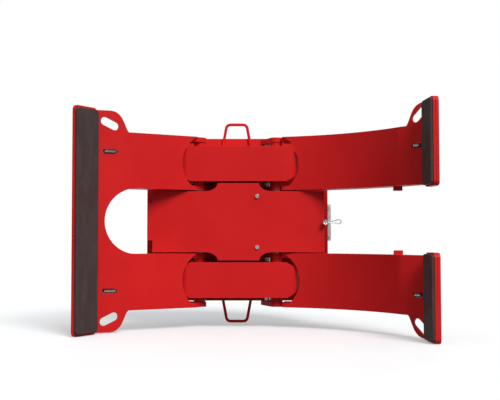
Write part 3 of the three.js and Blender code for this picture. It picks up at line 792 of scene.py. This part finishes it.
@dataclass
class Rotator:
    """Slewing bearing with its ring gear, pinion, drive housing and motor."""

    race: float = 205.0
    bore: float = 150.0
    motor_at: tuple[float, float] = (372.0, -58.0)

    def build(self, shop: Shop) -> None:
        """Builds the bearing, the drive and the rotary union."""
        ring = [
            (self.bore, -87.3), (self.bore + 2, -87.3), (self.race - 3, -87.3), (self.race - 0.2, -84.5),
            (self.race - 0.2, -31.5), (self.race - 6, -31.2), (self.race - 6, -25.5), (self.bore + 2, -25.5),
            (self.bore, -27.5), (self.bore, -85.3),
        ]
        bm = turned(ring, Axis.Y, (0, 0, 0), 96)
        shop.fit(finish_mesh(bm, "bearing_race_turned"), "mount", Slot.STEEL, ["bearing_inner_race"])
        shop.refine("bearing_gear_ring", "frame", Slot.STEEL, 0.8, 1)
        shop.refine("drive_pinion", "pinion", Slot.STEEL, 0.8, 1)
        shop.refine("drive_housing", "mount", Slot.GREY, 3.0)
        for k, (x, z) in enumerate(((424, 68), (424, -68), (424, 0))):
            head = hex_bolt((x, -92.2, z), Axis.Y, 8.0, -1.0, washer=False)
            shop.fit(finish_mesh(head, f"housing_bolt_{k}"), "mount", Slot.STEEL)
        motor = [
            (0.0, 86.0), (29.0, 86.0), (29.0, 104.0), (29.6, 105.0), (29.6, 190.0), (27.5, 204.0),
            (22.0, 206.0), (22.0, 222.0), (19.0, 225.5), (0.0, 225.5),
        ]
        x, y = self.motor_at
        bm = turned(motor, Axis.Z, (x, y, 0))
        flange = Matrix.Translation(m(x, y, 94.2)) @ Matrix.Diagonal((0.054, 0.056, 0.017, 1))
        bmesh.ops.create_cube(bm, size=1.0, matrix=flange)
        shop.fit(finish_mesh(bm, "drive_motor_turned"), "mount", Slot.GREY, ["drive_motor"])
        union = [
            (0.0, -25.5), (58.0, -25.5), (58.0, -53.0), (56.0, -55.3), (44.0, -55.3), (44.0, -70.0),
            (41.5, -71.5), (41.5, -75.0), (44.0, -76.5), (44.0, -110.0), (41.0, -113.2), (14.0, -113.2),
            (11.0, -108.0), (0.0, -108.0),
        ]
        shop.lathe("rotary_union_turned", "mount", Slot.GREY, union, Axis.Y, (0, 0, 0), ["rotary_union"])


@dataclass
class ClampFrame:
    """Welded frame that turns as one: rear plate, pivot brackets, cover, pins, loops and locking pin."""

    pin_x: float = 172.0
    pin_y: float = -265.0
    pin_r: float = 18.0
    screw_at: tuple[float, float] = (82.0, 112.0)
    loop_r: float = 7.0
    loop_y: float = -124.7
    loop_corners: tuple[tuple[float, float], ...] = (
        (-70.0, 341.5),
        (-49.0, 455.8),
        (43.0, 455.8),
        (64.0, 341.5),
    )

    def build(self, shop: Shop) -> None:
        """Builds the frame's pieces."""
        shop.refine("rear_plate", "frame", Slot.RED, 2.5)
        shop.refine("front_cover", "frame", Slot.RED, 1.6)
        for half, sign in HALVES.items():
            shop.refine(f"pivot_bracket_{half}", "frame", Slot.RED, 4.0, 3)
            self._loop(shop, half, sign)
            self._pins(shop, half, sign)
            x, z = self.screw_at
            head = hex_bolt((x, -335.2, z * sign), Axis.Y, 9.8, -1.0, washer=False)
            shank = [(4.0, -323.4), (6.0, -323.4), (6.0, -335.0), (4.0, -335.0)]
            turned(shank, Axis.Y, (x, 0, z * sign), 24, head)
            shop.fit(finish_mesh(head, f"cover_screw_{half}"), "frame", Slot.STEEL, [f"cover_bolt_{half}"])
        shop.lathe(
            "anchor_pin_middle_turned", "frame", Slot.STEEL, pin_profile(LINK_PIN_R, -52, 52, 1.5),
            Axis.Z, (ANCHOR_X, CYLINDER_Y, 0), ["cylinder_anchor_pin_middle"],
        )
        self._lock(shop)

    def _loop(self, shop: Shop, half: str, sign: float) -> None:
        """Bends one bar loop."""
        corners = [(x, self.loop_y, z * sign) for x, z in self.loop_corners]
        bar = swept_bar(f"bar_loop_{half}", rounded_path(corners, 18.0), self.loop_r - 0.2)
        shop.fit(bar, "frame", Slot.RED, [f"hand_loop_{half}"])

    def _pins(self, shop: Shop, half: str, sign: float) -> None:
        """Turns the arm pins and the anchor pin of one half."""
        for side, name in ((-1, "short_arm_pin"), (1, "long_arm_pin")):
            low, high = sorted((PIN_INNER * sign, PIN_OUTER * sign))
            profile = pin_profile(self.pin_r, low, high, 2.5)
            place = (side * self.pin_x, self.pin_y, 0)
            node = f"{name}_{half}"
            shop.lathe(f"{node}_turned", "frame", Slot.STEEL, profile, Axis.Z, place, [node])
        low, high = sorted((177.0 * sign, 336.0 * sign))
        profile = pin_profile(LINK_PIN_R, low, high, 1.5)
        shop.lathe(
            f"anchor_pin_{half}_turned", "frame", Slot.STEEL, profile, Axis.Z, (-ANCHOR_X, CYLINDER_Y, 0),
            [f"cylinder_anchor_pin_{half}"],
        )

    def _lock(self, shop: Shop) -> None:
        """Builds the locking pin and its spring clip."""
        profile = [
            (0.0, -361.0), (3.6, -361.0), (4.4, -368.6), (5.4, -369.0), (8.6, -366.4), (11.4, -362.4),
            (12.8, -357.0), (11.4, -351.6), (8.6, -347.6), (6.0, -345.6), (6.0, -337.0), (8.5, -337.0),
            (8.5, -335.4), (0.0, -335.4),
        ]
        shop.lathe("lock_pin_turned", "frame", Slot.CHROME, profile, Axis.Y, (377, 0, -3), ["lock_pin"])
        bends = [
            (390.6, -3.2), (420.0, -5.6), (436.0, -9.6), (446.0, -8.4), (450.0, 0.0), (446.0, 7.4),
            (436.0, 9.0), (420.0, 3.2), (390.6, -1.0),
        ]
        wire = [(x, -357.0, z) for x, z in bends]
        clip = swept_bar("spring_clip_wire", rounded_path(wire, 3.0, 4), 2.3)
        shop.fit(clip, "frame", Slot.STEEL, ["spring_clip"])


@dataclass
class ShortArm:
    """One-piece short arm with its full-height pad."""

    hinge: tuple[float, float] = (-652.0, -572.0)
    tube: tuple[float, float] = (-136.09, CYLINDER_Y)
    spring_z: float = 293.0

    def build(self, shop: Shop) -> None:
        """Builds the arm, its pad and its springs."""
        shop.refine("short_arm_skin", "short_arm", Slot.RED, 2.2)
        for half, sign in HALVES.items():
            for web in ("inner", "outer"):
                shop.refine(f"short_arm_web_{web}_{half}", "short_arm", Slot.RED, 2.0)
            z = self.spring_z * sign
            spring = coil((-520.0, -498.8, z), (-564.2, -514.8, z), 5.0, 1.5, 13)
            wound = finish_mesh(spring, f"short_spring_{half}")
            shop.fit(wound, "short_arm", Slot.STEEL, [f"short_pad_spring_{half}"])
            # Dark plate behind the spring slot: painted shade of the hollow behind the hole.
            shade_plate = slot_shade_plate((-545.5, -497.3, z), 20.0, 63.0, 19.0)
            shop.fit(finish_mesh(shade_plate, f"short_spring_shade_plate_{half}"), "short_arm", Slot.DARK)
        ring = [(16.0, -159.8), (24.0, -159.8), (25.0, -158.5), (25.0, 158.5), (24.0, 159.8), (16.0, 159.8)]
        place = (*self.tube, 0)
        shop.lathe("lever_tube_turned", "short_arm", Slot.RED, ring, Axis.Z, place, ["short_arm_lever_tube"])
        shop.lathe(
            "short_hinge_pin_turned", "short_arm", Slot.STEEL, pin_profile(8.0, -383, 383, 1.2),
            Axis.Z, (*self.hinge, 0), ["short_pad_hinge_pin"],
        )
        shop.refine("short_pad_plate", "short_pad", Slot.RED, 2.0)
        shop.refine("short_pad_rubber", "short_pad", Slot.RUBBER, 3.5, 3)


@dataclass
class LongArm:
    """One of the two split long arms with its own pad."""

    half: str
    hinge: tuple[float, float] = (757.0, -797.0)
    lever: tuple[float, float] = (136.09, CYLINDER_Y)
    spring_z: float = 296.0

    def build(self, shop: Shop) -> None:
        """Builds the arm, its pad and its spring."""
        half = self.half
        sign = HALVES[half]
        body = f"long_arm_{half}"
        pad = f"long_pad_{half}"
        shop.refine(f"long_arm_skin_{half}", body, Slot.RED, 2.2)
        for web in ("inner", "outer"):
            shop.refine(f"long_arm_web_{web}_{half}", body, Slot.RED, 2.0)
        low, high = sorted((137.0 * sign, 380.0 * sign))
        shop.lathe(
            f"lever_pin_{half}_turned", body, Slot.STEEL, pin_profile(LINK_PIN_R, low, high, 1.5),
            Axis.Z, (*self.lever, 0), [f"long_arm_lever_pin_{half}"],
        )
        low, high = sorted((136.0 * sign, 381.0 * sign))
        shop.lathe(
            f"long_hinge_pin_{half}_turned", body, Slot.STEEL, pin_profile(6.0, low, high, 1.0),
            Axis.Z, (*self.hinge, 0), [f"long_pad_hinge_pin_{half}"],
        )
        z = self.spring_z * sign
        spring = coil((689.8, -707.8, z), (706.8, -723.0, z), 4.5, 1.4, 7)
        shop.fit(finish_mesh(spring, f"long_spring_{half}"), body, Slot.STEEL, [f"long_pad_spring_{half}"])
        # Dark plate behind the spring slot: painted shade of the hollow behind the hole.
        shade_plate = slot_shade_plate((705.6, -707.2, z), -42.0, 43.0, 19.0)
        shop.fit(finish_mesh(shade_plate, f"long_spring_shade_plate_{half}"), body, Slot.DARK)
        shop.refine(f"long_pad_plate_{half}", pad, Slot.RED, 1.5)
        shop.refine(f"long_pad_rubber_{half}", pad, Slot.RUBBER, 3.0, 3)


@dataclass
class Cylinders:
    """The three hydraulic cylinders, each a swinging barrel with a chromed rod."""

    height: float = 252.5

    def build(self, shop: Shop) -> None:
        """Builds the barrels, rods and oil ports."""
        for half, z in (("upper", self.height), ("lower", -self.height)):
            shop.refine(f"long_cylinder_barrel_{half}", f"long_barrel_{half}", Slot.DARK, 1.6)
            shop.refine(f"long_cylinder_rod_{half}", f"long_rod_{half}", Slot.CHROME, 1.2)
            for k, x in enumerate((-150.0, 45.0)):
                self._port(shop, f"long_port_{half}_{k}", f"long_barrel_{half}", (x, z))
        shop.refine("short_cylinder_barrel", "short_barrel", Slot.DARK, 1.6)
        shop.refine("short_cylinder_rod", "short_rod", Slot.CHROME, 1.2)
        for k, x in enumerate((150.0, -45.0)):
            self._port(shop, f"short_port_{k}", "short_barrel", (x, 0.0))

    def _port(self, shop: Shop, name: str, body: str, place: tuple[float, float]) -> None:
        """Builds one oil port with its plug on the front of a barrel."""
        x, z = place
        y = CYLINDER_Y - 36.0
        profile = [
            (0.0, -14.0), (6.0, -14.0), (7.0, -12.5), (7.0, -9.0), (10.0, -9.0), (11.0, -8.0), (11.0, 4.0),
            (0.0, 4.0),
        ]
        bm = turned(profile, Axis.Y, (x, y, z), 24)
        shop.fit(finish_mesh(bm, name), body, Slot.STEEL)


@dataclass
class Studio:
    """Camera, lights, floor and backdrop."""

    floor_z: float = -0.4695
    camera_at: Point = (-0.072, -4.075, -0.068)
    pitch_deg: float = 2.5
    lens: float = 61.2
    shift_x: float = 0.056
    glow_below: float = 0.16
    glow_above: float = 0.52

    def build(self) -> None:
        """Sets up the studio."""
        self._camera()
        self._world()
        self._lights()
        self._floor()

    def _camera(self) -> None:
        """Places the camera."""
        data = bpy.data.cameras.new("camera")
        data.lens = self.lens
        data.sensor_width = 36.0
        data.shift_x = self.shift_x
        data.clip_end = 60.0
        camera = bpy.data.objects.new("camera", data)
        camera.location = self.camera_at
        camera.rotation_euler = (math.radians(90 + self.pitch_deg), 0.0, 0.0)
        bpy.context.collection.objects.link(camera)
        bpy.context.scene.camera = camera

    def _world(self) -> None:
        """Makes a white surround with a softer glow on the object."""
        world = bpy.data.worlds.new("studio surround")
        world.use_nodes = True
        tree = world.node_tree
        tree.nodes.clear()
        way = add(tree, "SeparateXYZ", None, {0: add(tree, "TexCoord").outputs["Generated"]}).outputs["Z"]
        limits = {"From Min": -0.1, "From Max": 0.3, "To Min": self.glow_below, "To Max": self.glow_above}
        strength = add(tree, "MapRange", None, {"Value": way, **limits}).outputs[0]
        glow = add(tree, "Background", None, {"Color": (1, 1, 1, 1), "Strength": strength})
        seen = add(tree, "Background", None, {"Color": (1, 1, 1, 1), "Strength": 1.0})
        seen_directly = add(tree, "LightPath").outputs["Is Camera Ray"]
        both = add(tree, "MixShader", None, {0: seen_directly, 1: glow.outputs[0], 2: seen.outputs[0]})
        add(tree, "OutputWorld", None, {"Surface": both.outputs[0]})
        bpy.context.scene.world = world

    def _lights(self) -> None:
        """Hangs the soft key light, high in front and to the right."""
        self._lamp("key light", (0.33, -0.65, 0.68), 3.1, 28.0)

    def _lamp(self, name: str, towards: Point, strength: float, spread_deg: float) -> None:
        """Hangs one distant soft light.

        Args:
            name: The light's name.
            towards: Direction from the object towards the light.
            strength: Irradiance on a surface that faces it.
            spread_deg: Width of the light as the object sees it.
        """
        data = bpy.data.lights.new(name, "SUN")
        data.energy = strength
        data.angle = math.radians(spread_deg)
        lamp = bpy.data.objects.new(name, data)
        lamp.rotation_euler = (-Vector(towards)).to_track_quat("-Z", "Y").to_euler()
        bpy.context.collection.objects.link(lamp)

    def _floor(self) -> None:
        """Lays the floor."""
        bm = bmesh.new()
        level = Matrix.Translation((0, 0, self.floor_z))
        bmesh.ops.create_grid(bm, x_segments=2, y_segments=2, size=14.0, matrix=level)
        floor = finish_mesh(bm, "studio_floor")
        floor.data.materials.append(PALE_FLOOR.build())
        # The floor catches shadows and throws no light back on the undersides.
        floor.visible_diffuse = False


def main() -> None:
    """Builds the studio and every sub-assembly in order."""
    logging.basicConfig(level=logging.INFO, format="%(name)s: %(message)s")
    bpy.context.scene.view_settings.view_transform = "Standard"
    Studio().build()
    palette = Palette()
    palette.build()
    shop = Shop(palette)
    TruckMount().build(shop)
    Rotator().build(shop)
    ClampFrame().build(shop)
    ShortArm().build(shop)
    for half in ("upper", "lower"):
        LongArm(half).build(shop)
    Cylinders().build(shop)
    LOG.info("%d pieces built", shop.count)


if __name__ == "__main__":
    main()
